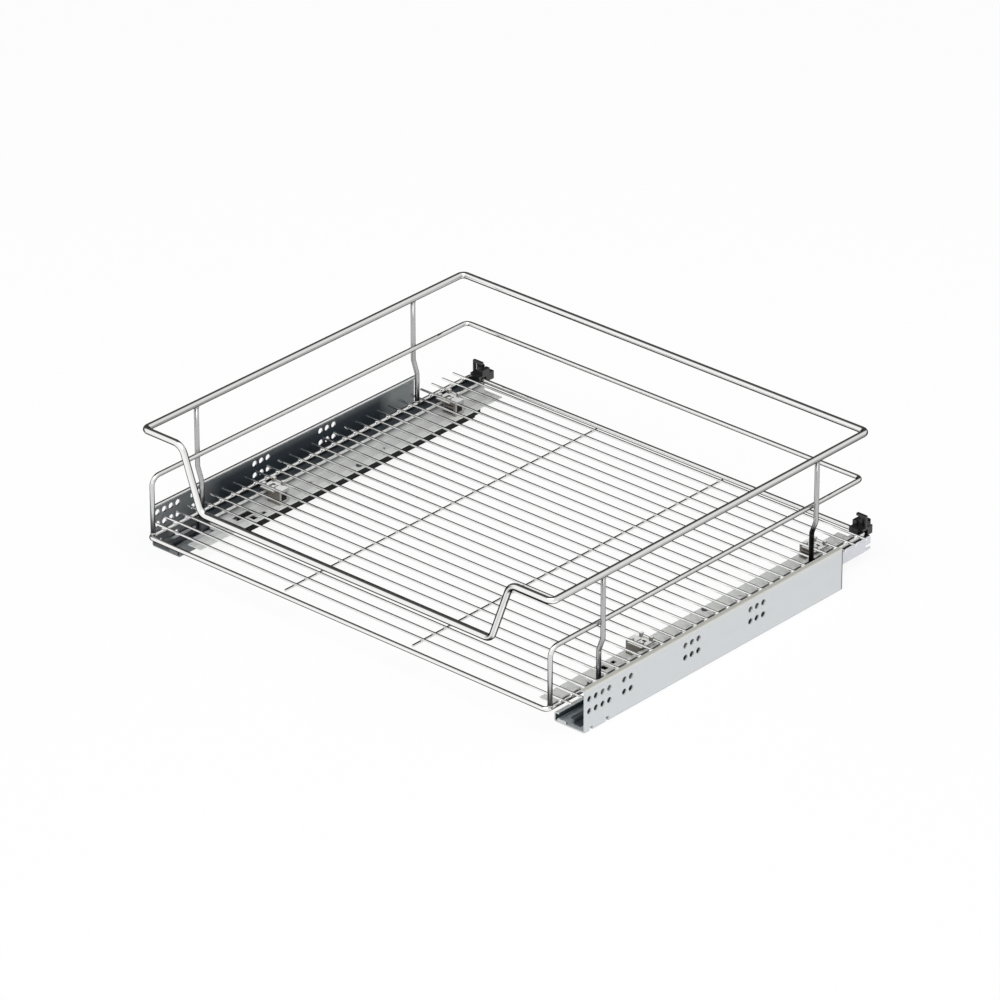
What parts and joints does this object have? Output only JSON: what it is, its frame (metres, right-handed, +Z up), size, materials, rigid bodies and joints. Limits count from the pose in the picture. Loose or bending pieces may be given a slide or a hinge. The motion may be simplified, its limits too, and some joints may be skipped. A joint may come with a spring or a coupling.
{
  "type": "pull-out basket drawer",
  "caption": "Wire basket with a lowered front rail that pulls out of a cabinet on full-extension undermount runners.",
  "frame": {"origin": "middle of the width and of the depth, on the plane that the runners stand on", "axes": "+X to the right across the cabinet, -Y towards the user, the way the basket opens, +Z up"},
  "size_m": [0.564, 0.49, 0.1486],
  "materials": {
    "chrome_wire": "bright chrome plating on round steel wire",
    "chrome_thin_wire": "bright chrome plating on thin steel wire",
    "zinc_plate": "smooth zinc-plated sheet, light blue-grey",
    "zinc_middle": "smooth zinc-plated sheet",
    "zinc_drawer": "smooth zinc-plated sheet, warm grey",
    "steel_ball": "polished hardened steel",
    "spring_steel": "drawn spring wire",
    "black_plastic": "moulded black plastic, fine grain",
    "white_plastic": "moulded off-white slide plastic",
    "clip_plastic": "moulded light grey plastic",
    "black_rubber": "soft black rubber"
  },
  "bodies": {
    "runners": {"cabinet_profile_left": "zinc_plate", "guide_strip_left": "zinc_plate", "guide_rivets_left": "zinc_plate", "stop_buffer_left": "black_rubber", "damper_housing_left": "black_plastic", "damper_cover_left": "black_plastic", "damper_cylinder_left": "white_plastic", "damper_rod_left": "steel_ball", "closing_spring_left": "spring_steel", "catch_slider_left": "white_plastic", "cabinet_profile_right": "zinc_plate", "guide_strip_right": "zinc_plate", "guide_rivets_right": "zinc_plate", "stop_buffer_right": "black_rubber", "damper_housing_right": "black_plastic", "damper_cover_right": "black_plastic", "damper_cylinder_right": "white_plastic", "damper_rod_right": "steel_ball", "closing_spring_right": "spring_steel", "catch_slider_right": "white_plastic"},
    "basket": {"drawer_profile_left": "zinc_drawer", "catch_pin_left": "zinc_drawer", "front_clip_left": "clip_plastic", "rear_clip_left": "clip_plastic", "rear_bracket_left": "black_plastic", "height_adjuster_left": "black_plastic", "post_front_left": "chrome_wire", "post_rear_left": "chrome_wire", "drawer_profile_right": "zinc_drawer", "catch_pin_right": "zinc_drawer", "front_clip_right": "clip_plastic", "rear_clip_right": "clip_plastic", "rear_bracket_right": "black_plastic", "height_adjuster_right": "black_plastic", "post_front_right": "chrome_wire", "post_rear_right": "chrome_wire", "top_rail": "chrome_wire", "mid_rail": "chrome_wire", "floor_frame": "chrome_wire", "floor_wires": "chrome_thin_wire", "cross_wires": "chrome_thin_wire"},
    "middle_left": {"middle_profile_left": "zinc_middle"},
    "lower_cage_left": {"lower_cage_left": "white_plastic", "lower_balls_left": "steel_ball"},
    "upper_cage_left": {"upper_cage_left": "white_plastic", "upper_balls_left": "steel_ball"},
    "middle_right": {"middle_profile_right": "zinc_middle"},
    "lower_cage_right": {"lower_cage_right": "white_plastic", "lower_balls_right": "steel_ball"},
    "upper_cage_right": {"upper_cage_right": "white_plastic", "upper_balls_right": "steel_ball"}
  },
  "joints": [
    {"name": "basket_slide", "type": "slide", "parent": "runners", "child": "basket", "axis": [0, -1, 0], "range_m": [0, 0.4]},
    {"name": "middle_left_slide", "type": "slide", "parent": "runners", "child": "middle_left", "axis": [0, -1, 0], "range_m": [0, 0.2]},
    {"name": "lower_cage_left_slide", "type": "slide", "parent": "runners", "child": "lower_cage_left", "axis": [0, -1, 0], "range_m": [0, 0.1]},
    {"name": "upper_cage_left_slide", "type": "slide", "parent": "runners", "child": "upper_cage_left", "axis": [0, -1, 0], "range_m": [0, 0.3]},
    {"name": "middle_right_slide", "type": "slide", "parent": "runners", "child": "middle_right", "axis": [0, -1, 0], "range_m": [0, 0.2]},
    {"name": "lower_cage_right_slide", "type": "slide", "parent": "runners", "child": "lower_cage_right", "axis": [0, -1, 0], "range_m": [0, 0.1]},
    {"name": "upper_cage_right_slide", "type": "slide", "parent": "runners", "child": "upper_cage_right", "axis": [0, -1, 0], "range_m": [0, 0.3]}
  ],
  "couplings": [
    {"joint": "middle_left_slide", "follows": "basket_slide", "ratio": 0.5},
    {"joint": "lower_cage_left_slide", "follows": "basket_slide", "ratio": 0.25},
    {"joint": "upper_cage_left_slide", "follows": "basket_slide", "ratio": 0.75},
    {"joint": "middle_right_slide", "follows": "basket_slide", "ratio": 0.5},
    {"joint": "lower_cage_right_slide", "follows": "basket_slide", "ratio": 0.25},
    {"joint": "upper_cage_right_slide", "follows": "basket_slide", "ratio": 0.75}
  ]
}
